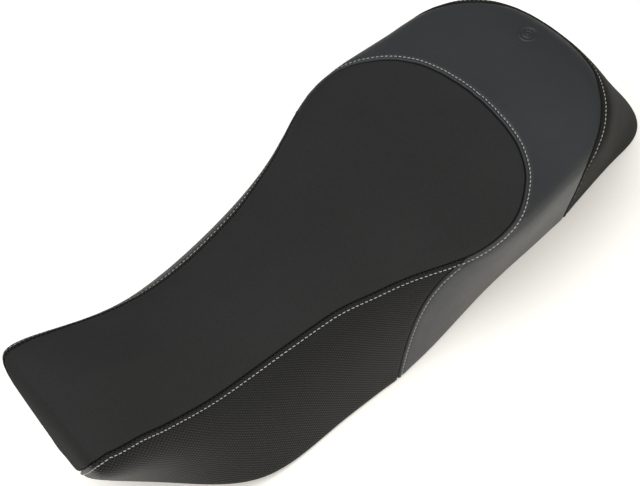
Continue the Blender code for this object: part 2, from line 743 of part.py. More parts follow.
for name, bx, by, low, high, thick in BOLTS:
    plate_under = low - GAP - thick
    for side, word in ((1, "left"), (-1, "right")):
        centre = (side * bx, by)
        head_top = plate_under - GAP
        head = cylinder("%s_bolt_%s" % (name, word), BOLT_RADIUS, head_top - 0.0005,
                        high + GAP + NUT_HEIGHT + 0.001, centre, 20, STEEL)
        bm = bmesh.new()
        hexagon(bm, BOLT_HEAD_WIDTH, head_top - BOLT_HEAD, head_top, centre)
        cap = finish("head_tool", bm, STEEL, smooth=False)
        apply_boolean(head, [cap], "UNION")
        tidy(head)
        bm = bmesh.new()
        hexagon(bm, BOLT_HEAD_WIDTH, high + GAP, high + GAP + NUT_HEIGHT, centre)
        nut = finish("%s_nut_%s" % (name, word), bm, STEEL, smooth=False)
        bore = cylinder("nut_bore", BOLT_RADIUS + GAP, high - 0.01, high + 0.02, centre, 20)
        apply_boolean(nut, [bore], "DIFFERENCE")
        tidy(nut)


def tongue_body():
    """A strap cranked down and forwards, extruded across its width."""
    top = TONGUE_TOP - GAP
    t = TONGUE_THICKNESS
    back = TONGUE_Y + TONGUE_FOOT / 2
    front = TONGUE_Y - TONGUE_FOOT / 2
    low = top - TONGUE_DROP
    tip = front - TONGUE_REACH
    outline = [(back, top), (front, top), (front - t * 0.6, top - t), (front - t * 1.6, low),
               (tip + 0.004, low), (tip, low - t * 0.35), (tip, low - t * 0.8), (tip + 0.002, low - t),
               (front + t * 0.2, low - t), (front + t * 1.2, low - t * 0.2), (front + t * 1.6, top - t), (back, top - t)]
    bm = bmesh.new()
    rings = []
    for x in (-TONGUE_WIDTH / 2, TONGUE_WIDTH / 2):
        rings.append([bm.verts.new((x, y, z)) for y, z in outline])
    count = len(outline)
    for k in range(count):
        bm.faces.new((rings[0][k], rings[0][(k + 1) % count], rings[1][(k + 1) % count], rings[1][k]))
    bm.faces.new(rings[0])
    bm.faces.new(rings[1])
    return finish("front_tongue", bm, BLACK_STEEL, smooth=False)


tongue = tongue_body()
plate_centre = (0.0, STRIKER_Y, STRIKER_TOP - GAP - STRIKER_PLATE[2] / 2)
plate = box("striker_plate", STRIKER_PLATE, plate_centre, STEEL)
for plate_obj, bx, by, low in ((tongue, TONGUE_BOLT_X, TONGUE_Y, TONGUE_TOP),
                               (plate, STRIKER_BOLT_X, STRIKER_Y, STRIKER_TOP)):
    holes = [cylinder("plate_hole", BOLT_RADIUS + GAP, low - 0.008, low + 0.005, (side * bx, by), 20)
             for side in (1, -1)]
    apply_boolean(plate_obj, holes, "DIFFERENCE")
    tidy(plate_obj)


def striker_loop():
    """A round bar bent into a U, hanging under its plate."""
    top = STRIKER_TOP - GAP - STRIKER_PLATE[2] - GAP
    bend = STRIKER_HALF_GAP + STRIKER_BAR_RADIUS
    floor = top - STRIKER_DROP + bend
    path = [(bend, top), (bend, floor)]
    turns = 10
    for k in range(1, turns):
        a = math.pi * k / turns
        path.append((bend * math.cos(a), floor - bend * math.sin(a)))
    path += [(-bend, floor), (-bend, top)]
    bm = bmesh.new()
    rings = []
    for k, (x, z) in enumerate(path):
        before = path[max(k - 1, 0)]
        after = path[min(k + 1, len(path) - 1)]
        along = Vector((after[0] - before[0], 0.0, after[1] - before[1])).normalized()
        sideways = Vector((0.0, 1.0, 0.0)).cross(along)
        ring = []
        for s in range(12):
            a = 2 * math.pi * s / 12
            offset = sideways * math.cos(a) * STRIKER_BAR_RADIUS + Vector((0, math.sin(a) * STRIKER_BAR_RADIUS, 0))
            ring.append(bm.verts.new(Vector((x, STRIKER_Y, z)) + offset))
        rings.append(ring)
    for a, b in zip(rings, rings[1:]):
        for s in range(12):
            bm.faces.new((a[s], a[(s + 1) % 12], b[(s + 1) % 12], b[s]))
    bm.faces.new(rings[0])
    bm.faces.new(rings[-1])
    return finish("striker_loop", bm, STEEL)


striker_loop()

for k, (x, y, z, word) in enumerate(rests):
    row = k // 2 + 1
    top = z - GAP
    body_end = top - REST_LENGTH
    profile = [(REST_STEM_RADIUS * 0.7, z + REST_STEM - GAP), (REST_STEM_RADIUS, z + REST_STEM - 0.001),
               (REST_STEM_RADIUS, top), (REST_FLANGE_RADIUS, top), (REST_FLANGE_RADIUS, top - REST_FLANGE),
               (REST_RADIUS, top - REST_FLANGE - 0.001), (REST_RADIUS, body_end + 0.0015),
               (REST_RADIUS - 0.0015, body_end)]
    bm = bmesh.new()
    turned(bm, profile, 16, (x, y))
    finish("rubber_rest_%d_%s" % (row, word), bm, RUBBER)
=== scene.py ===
"""Looks of the dual motorcycle seat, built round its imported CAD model.

+X is the rider's left, +Y the tail, +Z up, in metres.  The cover is one lofted skin, cut
into sewn panels.  Each panel is a grid in loft coordinates: t runs from the nose round
one flank to the tail, v from the spine to the lower edge.  The skin is symmetric, so its
tables hold the left side only.
"""
import json
import math

import bmesh
import bpy
import numpy as np
from mathutils import Matrix, Vector
from mathutils.bvhtree import BVHTree
from mathutils.kdtree import KDTree

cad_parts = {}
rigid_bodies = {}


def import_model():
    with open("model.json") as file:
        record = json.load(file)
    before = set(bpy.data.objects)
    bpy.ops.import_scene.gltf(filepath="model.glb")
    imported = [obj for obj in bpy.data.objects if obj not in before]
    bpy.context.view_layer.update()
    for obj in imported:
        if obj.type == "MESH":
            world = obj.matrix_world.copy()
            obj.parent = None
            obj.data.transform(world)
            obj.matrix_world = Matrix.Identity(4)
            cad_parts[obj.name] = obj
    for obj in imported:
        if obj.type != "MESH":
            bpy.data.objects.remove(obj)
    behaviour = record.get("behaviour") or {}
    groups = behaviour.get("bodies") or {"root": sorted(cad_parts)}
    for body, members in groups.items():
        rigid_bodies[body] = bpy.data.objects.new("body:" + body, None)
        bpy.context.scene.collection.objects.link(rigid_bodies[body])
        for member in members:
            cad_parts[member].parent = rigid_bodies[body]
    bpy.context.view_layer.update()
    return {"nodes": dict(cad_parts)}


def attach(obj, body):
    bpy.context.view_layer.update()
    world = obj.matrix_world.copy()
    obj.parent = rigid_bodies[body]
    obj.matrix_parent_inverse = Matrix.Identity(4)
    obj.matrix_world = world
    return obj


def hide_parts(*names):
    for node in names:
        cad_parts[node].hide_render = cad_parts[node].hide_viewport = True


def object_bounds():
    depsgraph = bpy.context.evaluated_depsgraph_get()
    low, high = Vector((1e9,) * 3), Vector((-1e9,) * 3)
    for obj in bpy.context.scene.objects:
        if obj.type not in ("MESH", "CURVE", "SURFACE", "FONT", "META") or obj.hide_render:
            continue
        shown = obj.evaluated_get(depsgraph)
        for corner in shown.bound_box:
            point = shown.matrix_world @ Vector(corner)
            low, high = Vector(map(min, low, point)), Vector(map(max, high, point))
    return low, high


for old in list(bpy.data.objects):
    bpy.data.objects.remove(old, do_unlink=True)

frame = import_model()
MM = 0.001

# ---------------------------------------------------------------- the skin
# Stations of the loft, from the middle of the nose to the middle of the tail:
# spine y, z | shoulder x, y, z | lower edge x, y, z | flank bulge | shoulder radius
STATIONS = (
    (0.051, 0.198, 0.000, 0.029, 0.196, 0.000, 0.027, 0.085, 0.000, 0.022),
    (0.051, 0.198, 0.078, 0.029, 0.196, 0.026, 0.027, 0.085, 0.000, 0.022),
    (0.083, 0.197, 0.104, 0.025, 0.200, 0.040, 0.034, 0.086, 0.000, 0.022),
    (0.121, 0.173, 0.093, 0.088, 0.171, 0.073, 0.087, 0.056, 0.002, 0.022),
    (0.186, 0.132, 0.078, 0.182, 0.122, 0.129, 0.164, 0.000, 0.005, 0.022),
    (0.293, 0.136, 0.088, 0.298, 0.131, 0.121, 0.266, 0.002, 0.005, 0.022),
    (0.390, 0.154, 0.108, 0.392, 0.143, 0.132, 0.372, 0.000, 0.003, 0.022),
    (0.471, 0.157, 0.156, 0.464, 0.149, 0.110, 0.490, 0.000, 0.002, 0.013),
    (0.518, 0.154, 0.142, 0.579, 0.145, 0.113, 0.606, 0.000, 0.001, 0.013),
    (0.546, 0.155, 0.136, 0.662, 0.154, 0.090, 0.710, 0.000, 0.000, 0.013),
    (0.546, 0.155, 0.068, 0.702, 0.160, 0.094, 0.786, 0.000, -0.004, 0.013),
    (0.546, 0.155, 0.000, 0.702, 0.160, 0.000, 0.786, 0.000, -0.004, 0.013),
)
# Seams as (t, v).  The top seam runs from the lower edge beside the nose, along the
# shoulder and round the pillion area.
TOP_SEAM = (
    (0.038, 1.000), (0.048, 0.850), (0.058, 0.630), (0.071, 0.490), (0.086, 0.406), (0.100, 0.362),
    (0.130, 0.315), (0.190, 0.325), (0.240, 0.380),
    (0.320, 0.425), (0.400, 0.420), (0.455, 0.420), (0.520, 0.470), (0.630, 0.490), (0.690, 0.420),
    (0.750, 0.262), (0.800, 0.156), (0.850, 0.091), (0.900, 0.058), (0.950, 0.045), (1.000, 0.041),
)
NOSE_END = TOP_SEAM[0][0]
# The flank seam's t at four control points, from the top seam down to the lower edge.
FLANK_SEAM_T = (0.631, 0.573, 0.544, 0.526)
# The tail seam climbs the flank from TAIL_SEAM_START to a corner, then rounds the rear.
TAIL_SEAM_START = 0.786
TAIL_SEAM = (
    (0.806, 0.600), (0.825, 0.510), (0.860, 0.440), (0.900, 0.420), (0.930, 0.435),
    (0.965, 0.500), (1.000, 0.530),
)
CORNER_T, CORNER_V = TAIL_SEAM[0]

CROWN_SHARE = 0.55           # of the way from the spine to the shoulder
CROWN_DROP = 0.4             # share of the height between them that is lost there
FLANK_SHARE = 0.55           # of the way from the shoulder to the lower edge
NARROW_SHARE = 0.8           # most of a narrow crown that the shoulder's curve may take


def spline_weights(count, ts):
    """Weights of a clamped uniform cubic B-spline, one row for each value of ts."""
    spans = count - 3
    knots = np.array([0.0] * 3 + [k / spans for k in range(spans + 1)] + [1.0] * 3)
    ts = np.clip(np.asarray(ts, float), 0.0, 1.0 - 1e-9)[:, None]
    weights = ((knots[:-1] <= ts) & (ts < knots[1:])).astype(float)
    for p in range(1, 4):
        last = len(knots) - p - 1
        wide_a = knots[p:p + last] - knots[:last]
        wide_b = knots[p + 1:p + 1 + last] - knots[1:1 + last]
        up = np.where(wide_a > 0, (ts - knots[:last]) / np.where(wide_a > 0, wide_a, 1), 0)
        down = np.where(wide_b > 0, (knots[p + 1:p + 1 + last] - ts) / np.where(wide_b > 0, wide_b, 1), 0)
        weights = up * weights[:, :last] + down * weights[:, 1:last + 1]
    return weights


def smooth_table(table, x):
    """Monotone cubic through a table's points."""
    xs, ys = np.array(table).T
    step = np.diff(xs)
    slope = np.diff(ys) / step
    tangent = np.zeros(len(xs))
    for k in range(1, len(xs) - 1):
        if slope[k - 1] * slope[k] > 0:
            a = 2 * step[k] + step[k - 1]
            b = step[k] + 2 * step[k - 1]
            tangent[k] = (a + b) / (a / slope[k - 1] + b / slope[k])
    tangent[0], tangent[-1] = slope[0], slope[-1]
    x = np.clip(np.asarray(x, float), xs[0], xs[-1])
    k = np.clip(np.searchsorted(xs, x, side="right") - 1, 0, len(step) - 1)
    u = (x - xs[k]) / step[k]
    rise = 3 * u ** 2 - 2 * u ** 3
    ends = (u ** 3 - 2 * u ** 2 + u) * step[k] * tangent[k] + (u ** 3 - u ** 2) * step[k] * tangent[k + 1]
    return ys[k] * (1 - rise) + ys[k + 1] * rise + ends


def control_net():
    """Six control points for each station: spine, crown, shoulder twice, flank, lower edge."""
    rows = []
    for yc, zc, xs, ys, zs, xb, yb, zb, bulge, radius in STATIONS:
        spine = np.array([0.0, yc, zc])
        shoulder = np.array([xs, ys, zs])
        foot = np.array([xb, yb, zb])
        crown = spine + CROWN_SHARE * (shoulder - spine)
        crown[2] = spine[2] + CROWN_DROP * (shoulder[2] - spine[2])
        away = (shoulder - spine) * (1, 1, 0)
        away /= np.linalg.norm(away)
        flank = shoulder + FLANK_SHARE * (foot - shoulder) + away * bulge
        inward = (crown - shoulder) / np.linalg.norm(crown - shoulder)
        down = (flank - shoulder) / np.linalg.norm(flank - shoulder)
        inner = min(radius, NARROW_SHARE * np.linalg.norm(crown - shoulder))
        rows.append([spine, crown, shoulder + inward * inner,
                     shoulder + down * radius, flank, foot])
    return np.array(rows)


NET = control_net()


def raw_skin(t, v):
    """Points of the loft before it is moved to the part's origin."""
    shape = np.shape(t)
    wt = spline_weights(len(NET), np.ravel(t))
    wv = spline_weights(6, np.ravel(v))
    return np.einsum("ni,nj,ijk->nk", wt, wv, NET).reshape(*shape, 3)


# The origin is the middle of the footprint, at the lowest point of the lower edge.
GRID_T, GRID_V = np.meshgrid(np.linspace(0, 1, 121), np.linspace(0, 1, 25), indexing="ij")
FLANK_ROW = 8                # the grid's rows from here down hold both ends of the seat
ENDS_Y = raw_skin(GRID_T, GRID_V)[:, FLANK_ROW:, 1]
EDGE_LINE = raw_skin(np.linspace(0, 1, 81), np.ones(81))
SHIFT = np.array([0.0, -(ENDS_Y.min() + ENDS_Y.max()) / 2, -EDGE_LINE[:, 2].min()])


def skin(t, v):
    """Points of the seat's outer skin."""
    return raw_skin(t, v) + SHIFT


def skin_normal(t, v):
    """Unit normals of the skin, pointing out."""
    t = np.clip(t, 0.004, 0.996)
    v = np.clip(v, 0.01, 0.99)
    step = 0.002
    along = skin(t + step, v) - skin(t - step, v)
    across = skin(t, v + step) - skin(t, v - step)
    n = np.cross(across, along)
    return n / np.linalg.norm(n, axis=-1, keepdims=True)


def top_seam(t):
    """The top seam's v at t."""
    return smooth_table(TOP_SEAM, t)


def flank_seam(b):
    """The flank seam's t, a share b of the way down it."""
    b = np.asarray(b, float)
    w = ((1 - b) ** 3, 3 * b * (1 - b) ** 2, 3 * b * b * (1 - b), b ** 3)
    return sum(wi * ti for wi, ti in zip(w, FLANK_SEAM_T))


def tail_seam(t):
    """The tail seam's v at t, past its corner."""
    return smooth_table(TAIL_SEAM, t)


def tail_seam_t(v):
    """The tail seam's t at v, from the lower edge up to its corner."""
    return TAIL_SEAM_START + (CORNER_T - TAIL_SEAM_START) * ((1 - v) / (1 - CORNER_V)) ** 2


def mix(a, b, share):
    return a + (b - a) * share


# ---------------------------------------------------------------- panels as patches
# A patch turns (along, across), each 0 to 1, into loft coordinates t, v.
def centre_patch(a, c):
    """Whole centre panel, one side of the spine; c = 0 on the spine."""
    t = a
    return t, top_seam(t) * c


def side_patch(a, c):
    """Side panel, from the nose to the flank seam."""
    t = mix(NOSE_END, flank_seam(c), a)
    return t, mix(top_seam(t), 1.0, c)


def corner_line(c):
    """Across the rear panel's last column: to the corner at one half, then down the tail seam."""
    upper_v = mix(top_seam(CORNER_T), CORNER_V, np.clip(c * 2, 0, 1))
    lower_v = mix(CORNER_V, 1.0, np.clip(c * 2 - 1, 0, 1))
    v = np.where(c <= 0.5, upper_v, lower_v)
    t = np.where(c <= 0.5, CORNER_T, tail_seam_t(lower_v))
    return t, v


def wrap_patch(a, c):
    """Rear panel's flank, from the flank seam to the tail seam's corner."""
    t_end, v_end = corner_line(c)
    c_end = (v_end - top_seam(t_end)) / (1 - top_seam(t_end))
    t = mix(flank_seam(c), t_end, a)
    return t, mix(top_seam(t), 1.0, mix(c, c_end, a))


def wrap_upper_patch(a, c):
    """The half of the wrap patch that ends above the corner."""
    return wrap_patch(a, c / 2)


def wrap_lower_patch(a, c):
    """The half of the wrap patch that ends on the tail seam."""
    return wrap_patch(a, 0.5 + c / 2)


def round_patch(a, c):
    """Rear panel behind the corner, between the top seam and the tail seam."""
    t = mix(CORNER_T, 1.0, a)
    return t, mix(top_seam(t), tail_seam(t), c)


def tail_patch(a, c):
    """Tail panel, from the tail seam down."""
    t_first, _ = corner_line(0.5 + c / 2)
    t = mix(t_first, 1.0, a)
    return t, mix(tail_seam(t), 1.0, c)


# ---------------------------------------------------------------- seams
SEAM_STEP = 1.5 * MM


def seam_line(t, v):
    """A seam at even steps: points, normals and loft coordinates, as arrays."""
    points = skin(t, v)
    run = np.concatenate([[0], np.cumsum(np.linalg.norm(np.diff(points, axis=0), axis=1))])
    count = int(run[-1] / SEAM_STEP) + 1
    at = np.linspace(0, run[-1], count)
    t = np.interp(at, run, t)
    v = np.interp(at, run, v)
    return {"t": t, "v": v, "p": skin(t, v), "n": skin_normal(t, v), "run": at}


FINE = np.linspace(0, 1, 600)
TOP_T = mix(NOSE_END, 1.0, FINE)
SEAM_TOP = seam_line(TOP_T, top_seam(TOP_T))
SEAM_FLANK = seam_line(flank_seam(FINE), mix(top_seam(flank_seam(FINE)), 1.0, FINE))
LOWER_V = np.linspace(1.0, CORNER_V, 200)
TAIL_LINE_T = np.concatenate([tail_seam_t(LOWER_V), mix(CORNER_T, 1.0, np.linspace(0, 1, 400))[1:]])
TAIL_LINE_V = np.concatenate([LOWER_V, tail_seam(mix(CORNER_T, 1.0, np.linspace(0, 1, 400)))[1:]])
SEAM_TAIL = seam_line(TAIL_LINE_T, TAIL_LINE_V)
SEAMS = {"top": SEAM_TOP, "flank": SEAM_FLANK, "tail": SEAM_TAIL}


def seam_tree(seam):
    """A search tree over a seam and its mirror image."""
    tree = KDTree(len(seam["p"]) * 2)
    for k, p in enumerate(seam["p"]):
        tree.insert(p, k)
        tree.insert((-p[0], p[1], p[2]), k)
    tree.balance()
    return tree


TREES = {name: seam_tree(seam) for name, seam in SEAMS.items()}

STITCH_IN = 5.0 * MM         # the stitch line's distance from the seam
# Height of the cover over the skin by distance from a seam, both in mm.  The folded side
# is raised over the seam allowance, then pulled down along the stitch line.  The plain
# side dips into the groove, and the shallow side dips less.
FOLDED = ((0, -2.3), (0.4, -1.1), (0.9, 0.0), (1.5, 0.55), (2.3, 0.80), (3.1, 0.72), (3.8, 0.40),
          (4.4, -0.20), (5.0, -0.50), (5.6, -0.25), (6.4, 0.05), (8.0, 0.16), (12.0, 0.10), (18.0, 0.0))
SHALLOW = ((0, -1.5), (0.5, -0.8), (1.0, -0.35), (1.8, -0.05), (3.0, 0.12), (8.0, 0.10), (18.0, 0.0))
PLAIN = ((0, -2.3), (0.4, -1.3), (0.9, -0.55), (1.6, -0.10), (2.6, 0.18), (4.5, 0.30), (8.0, 0.20),
         (14.0, 0.05), (18.0, 0.0))
PUCKER_WAVES = ((0.0131, 0.0), (0.0217, 1.3))    # wave length along the seam, and phase
PUCKER_HEIGHT = 0.22 * MM
PUCKER_REACH = 8 * MM
PUCKER_START = 2 * MM


def seam_distance(points, name):
    """Distance of each point from a seam's line, and the nearest step of that seam."""
    line = SEAMS[name]["p"]
    index = np.array([TREES[name].find(p)[1] for p in points])
    near = points * np.where(points[:, :1] < 0, np.array([-1, 1, 1]), 1)
    far = np.full(len(points), 1.0)
    for offset in (-1, 0):
        a = line[np.clip(index + offset, 0, len(line) - 1)]
        b = line[np.clip(index + offset + 1, 0, len(line) - 1)]
        run = b - a
        share = np.clip(((near - a) * run).sum(1) / np.maximum((run * run).sum(1), 1e-12), 0, 1)
        far = np.minimum(far, np.linalg.norm(near - a - run * share[:, None], axis=1))
    return far, index


def seam_heights(points, kinds):
    """How far each point stands over the skin, from the seams in kinds: {name: profile}."""
    rise = np.zeros(len(points))
    for name, profile in kinds.items():
        far, index = seam_distance(points, name)
        height = smooth_table(profile, far / MM) * MM
        run = SEAMS[name]["run"][index]
        pucker = sum(0.5 * np.sin(run * 2 * math.pi / wave + phase) for wave, phase in PUCKER_WAVES)
        fade = np.exp(-far / PUCKER_REACH) * (1 - np.exp(-far / PUCKER_START))
        height = height + pucker * fade * PUCKER_HEIGHT
        rise = np.where(np.abs(height) > np.abs(rise), height, rise)
    return rise


# ---------------------------------------------------------------- grids
# Grid lines beside a seam, by distance from it.
NEAR = np.array([0, 0.35, 0.8, 1.4, 2.2, 3.0, 3.7, 4.2, 4.7, 5.2, 5.8, 6.6, 8.0, 10.5]) * MM
NEAR_SHARE = 0.8             # most of a length that these lines may take
CELL = 4.6 * MM              # cells elsewhere


def graded(length, start, end, count_between):
    """Shares of a length, close together near a seam at the start or the end."""
    total = 0.0
    for flag in (start, end):
        total += NEAR[-1] if flag else 0.0
    squeeze = min(1.0, NEAR_SHARE * length / total) if total else 1.0
    first = NEAR * squeeze if start else np.array([0.0])
    last = length - NEAR[::-1] * squeeze if end else np.array([length])
    between = np.linspace(first[-1], last[0], count_between + 2)[1:-1]
    return np.concatenate([first, between, last]) / max(length, 1e-9)


def line_length(patch, fixed, value):
    """Length of a patch's grid line on which along or across is fixed at a value."""
    s = np.linspace(0, 1, 60)
    other = np.full(60, value)
    t, v = patch(other, s) if fixed == "along" else patch(s, other)
    return float(np.linalg.norm(np.diff(skin(t, v), axis=0), axis=1).sum())


def columns_of(patch, start_a, end_a):
    """Shares along a patch at which its columns stand."""
    long = max(line_length(patch, "across", c) for c in (0.1, 0.5, 0.9))
    return graded(long, start_a, end_a, int(long / CELL))


def patch_grid(patch, start_a, end_a, start_c, end_c, rows, like):
    """Loft coordinates of a panel's grid: even cells, and fine rows beside each seam.

    The four flags say at which ends a seam runs.  The columns are those of `like`, or of
    the patch itself.
    """
    a = columns_of(like or patch, start_a, end_a)
    wide = max(line_length(patch, "along", x) for x in (0.1, 0.3, 0.5, 0.7, 0.9))
    rows = rows if rows is not None else int(wide / CELL)
    ts, vs = [], []
    for share in a:
        width = max(line_length(patch, "along", share), 1e-4)
        c = graded(width, start_c, end_c, rows)
        t, v = patch(np.full(len(c), share), c)
        ts.append(t)
        vs.append(v)
    return {"t": np.array(ts), "v": np.array(vs)}


class Sheet:
    """Points, faces and material coordinates of a cover panel, gathered patch by patch."""

    def __init__(self):
        self.points, self.normals, self.flow, self.faces, self.edge = [], [], [], [], []
        self.index = {}

    def add(self, grid, mirror, hem):
        """Adds a patch's grid, or its mirror image.  hem says that its lower edge is hemmed."""
        side = np.array([-1.0 if mirror else 1.0, 1, 1])
        t, v = grid["t"], grid["v"]
        p = skin(t, v)
        n = skin_normal(t, v)
        middle = (v < 1e-9) | (t < 1e-9) | (t > 1 - 1e-9)
        p[middle, 0] = 0.0
        n[middle, 0] = 0.0
        n /= np.linalg.norm(n, axis=-1, keepdims=True)
        steps = np.linalg.norm(np.diff(p, axis=1), axis=2)
        down = np.concatenate([np.zeros((t.shape[0], 1)), np.cumsum(steps, axis=1)], axis=1)
        keys = np.empty(t.shape, int)
        for i in range(t.shape[0]):
            for j in range(t.shape[1]):
                key = (round(t[i, j], 7), round(v[i, j], 7), 0 if middle[i, j] else side[0])
                if key not in self.index:
                    self.index[key] = len(self.points)
                    self.points.append(p[i, j] * side)
                    self.normals.append(n[i, j] * side)
                    self.flow.append((p[i, j][1], down[i, j], 0.0))
                    self.edge.append(hem and v[i, j] > 1 - 1e-9)
                keys[i, j] = self.index[key]
        for i in range(t.shape[0] - 1):
            for j in range(t.shape[1] - 1):
                ring = [keys[i, j], keys[i, j + 1], keys[i + 1, j + 1], keys[i + 1, j]]
                if mirror:
                    ring.reverse()
                face = list(dict.fromkeys(ring))
                if len(face) > 2:
                    self.faces.append(face)


HEM_RADIUS = 1.5 * MM
HEM_TUCK = 12 * MM           # how far the cover reaches in under the pan's lip
HEM_RISE = 0.15 * MM
COVER = 1.2 * MM             # thickness of the cover


def hem_rows(points, normals, below):
    """The cover's lower edge, rolled under the pan's lip and tucked inward."""
    out = normals * (1, 1, 0)
    out /= np.linalg.norm(out, axis=1, keepdims=True)
    rows = []
    for angle in (30, 60, 90):
        a = math.radians(angle)
        rows.append(points - out * HEM_RADIUS * (1 - math.cos(a)) + below * HEM_RADIUS * math.sin(a))
    for share in (0.35, 0.7, 1.0):
        rows.append(rows[2] - out * HEM_TUCK * share + np.array([0, 0, HEM_RISE]) * share)
    return rows


CLOTH_FRAMES = 20


def swell(points, faces, pinned, pressure, cap, name):
    """Blows a panel up between its seams with Blender's cloth, and gives each point's move."""
    mesh = bpy.data.meshes.new(name)
    mesh.from_pydata(points.tolist(), [], faces)
    obj = bpy.data.objects.new(name, mesh)
    bpy.context.collection.objects.link(obj)
    group = obj.vertex_groups.new(name="pin")
    group.add([int(k) for k in np.nonzero(pinned)[0]], 1.0, "REPLACE")
    cloth = obj.modifiers.new("cloth", "CLOTH")
    cloth.settings.vertex_group_mass = "pin"
    cloth.settings.quality = 5
    cloth.settings.mass = 0.3
    cloth.settings.tension_stiffness = 25
    cloth.settings.compression_stiffness = 25
    cloth.settings.shear_stiffness = 10
    cloth.settings.bending_stiffness = 4
    cloth.settings.use_pressure = True
    cloth.settings.uniform_pressure_force = pressure
    cloth.settings.effector_weights.gravity = 0
    cloth.collision_settings.use_collision = False
    scene = bpy.context.scene
    for step in range(1, CLOTH_FRAMES + 1):
        scene.frame_set(step)
    depsgraph = bpy.context.evaluated_depsgraph_get()
    result = obj.evaluated_get(depsgraph).to_mesh()
    moved = np.zeros(len(points) * 3)
    result.vertices.foreach_get("co", moved)
    scene.frame_set(1)
    bpy.data.objects.remove(obj, do_unlink=True)
    bpy.data.meshes.remove(mesh)
    move = moved.reshape(-1, 3) - points
    size = np.linalg.norm(move, axis=1, keepdims=True)
    return move * np.minimum(1.0, cap / np.maximum(size, 1e-9))


def neighbours_mean(values, faces, passes):
    """Values averaged with their neighbours, a few times over."""
    pairs = np.array([(f[k], f[k - 1]) for f in faces for k in range(len(f))])
    for _ in range(passes):
        total = np.zeros_like(values)
        count = np.zeros(len(values))
        for a, b in (pairs.T, pairs.T[::-1]):
            np.add.at(total, a, values[b])
            np.add.at(count, a, 1)
        values = 0.5 * values + 0.5 * total / np.maximum(count, 1)[:, None]
    return values


PRESSURE = 3.0
SWELL_CAP = 5.0 * MM
SWELL_SHARE = 0.35           # of the cloth's move that is kept
START_UNDER = 0.5 * MM       # the panels start this far under the skin
PINNED = 6.5 * MM            # the cloth is pinned this near to a seam
EASE_START = 6.0 * MM
EASE_RUN = 20.0 * MM
BELOW_LEAN = 1e-3            # keeps a level edge's hem pointing down


def border_lines(faces):
    """The directed edges that only one face has."""
    uses = {}
    for f in faces:
        for k in range(len(f)):
            pair = (f[k - 1], f[k])
            uses.setdefault(frozenset(pair), []).append(pair)
    return [u[0] for u in uses.values() if len(u) == 1]


def add_hem(points, normals, faces, flow, edge, border_pairs):
    """Rolls the lower edge under, and adds its faces.  Returns the points and the flow."""
    edge_pairs = [pair for pair in border_pairs if edge[pair[0]] and edge[pair[1]]]
    if not edge_pairs:
        return points, flow
    ring = sorted({k for pair in edge_pairs for k in pair})
    above = {}
    for f in faces:
        for k in range(len(f)):
            a, b = f[k - 1], f[k]
            for x, y in ((a, b), (b, a)):
                if edge[x] and not edge[y]:
                    above.setdefault(x, []).append(y)
    below = []
    for k in ring:
        ups = above.get(k)
        d = points[k] - points[ups].mean(0) if ups else np.array([0, 0, -1.0])
        below.append(d / np.linalg.norm(d) * (0, 0, 1) + np.array([0, 0, -BELOW_LEAN]))
    below = np.array(below)
    below /= np.linalg.norm(below, axis=1, keepdims=True)
    rows = hem_rows(points[ring], normals[ring], below)
    start = len(points)
    size = len(ring)
    place = {k: i for i, k in enumerate(ring)}
    for a, b in edge_pairs:
        before = (a, b)
        for r in range(len(rows)):
            after = (start + r * size + place[a], start + r * size + place[b])
            faces.append([before[1], before[0], after[0], after[1]])
            before = after
    return np.concatenate([points] + rows), flow + [flow[k] for _ in rows for k in ring]


def panel(name, patches, kinds, material, mirrored):
    """One cover panel: skin grid, cloth swelling, seam relief, hem and thickness.

    patches holds (patch, seams at its four ends, hem, rows, patch that sets the columns),
    and kinds holds the relief profile for each seam that the panel meets.
    """
    sheet = Sheet()
    for patch, ends, hem, rows, like in patches:
        grid = patch_grid(patch, *ends, rows=rows, like=like)
        for mirror in mirrored:
            sheet.add(grid, mirror, hem)
    points = np.array(sheet.points)
    normals = np.array(sheet.normals)
    faces = [list(map(int, f)) for f in sheet.faces]
    edge = np.array(sheet.edge)
    border_pairs = border_lines(faces)
    border = np.zeros(len(points), bool)
    border[[k for pair in border_pairs for k in pair]] = True
    far = np.full(len(points), 1.0)
    for seam in kinds:
        far = np.minimum(far, seam_distance(points, seam)[0])
    move = swell(points, faces, border | (far < PINNED), PRESSURE, SWELL_CAP, name + "_cloth")
    move = neighbours_mean(move, faces, passes=3)
    ease = np.clip((far - EASE_START) / EASE_RUN, 0, 1)
    ease = (ease * ease * (3 - 2 * ease))[:, None]
    rise = seam_heights(points, kinds)[:, None]
    points = points + move * SWELL_SHARE * ease - normals * START_UNDER * ease + normals * rise
    points, flow = add_hem(points, normals, faces, sheet.flow, edge, border_pairs)
    mesh = bpy.data.meshes.new(name)
    mesh.from_pydata(points.tolist(), [], faces)
    mesh.validate()
    attribute = mesh.attributes.new("flow", "FLOAT_VECTOR", "POINT")
    attribute.data.foreach_set("vector", np.array(flow, np.float32).ravel())
    obj = bpy.data.objects.new(name, mesh)
    bpy.context.collection.objects.link(obj)
    mesh.materials.append(material)
    mesh.shade_smooth()
    thick = obj.modifiers.new("thickness", "SOLIDIFY")
    thick.thickness = COVER
    thick.offset = -1.0
    apply_modifiers(obj)
    return obj


def apply_modifiers(obj):
    """Applies all modifiers of an object, in their order."""
    bpy.context.view_layer.objects.active = obj
    for other in bpy.context.selected_objects:
        other.select_set(False)
    obj.select_set(True)
    for modifier in list(obj.modifiers):
        bpy.ops.object.modifier_apply(modifier=modifier.name)
    obj.select_set(False)


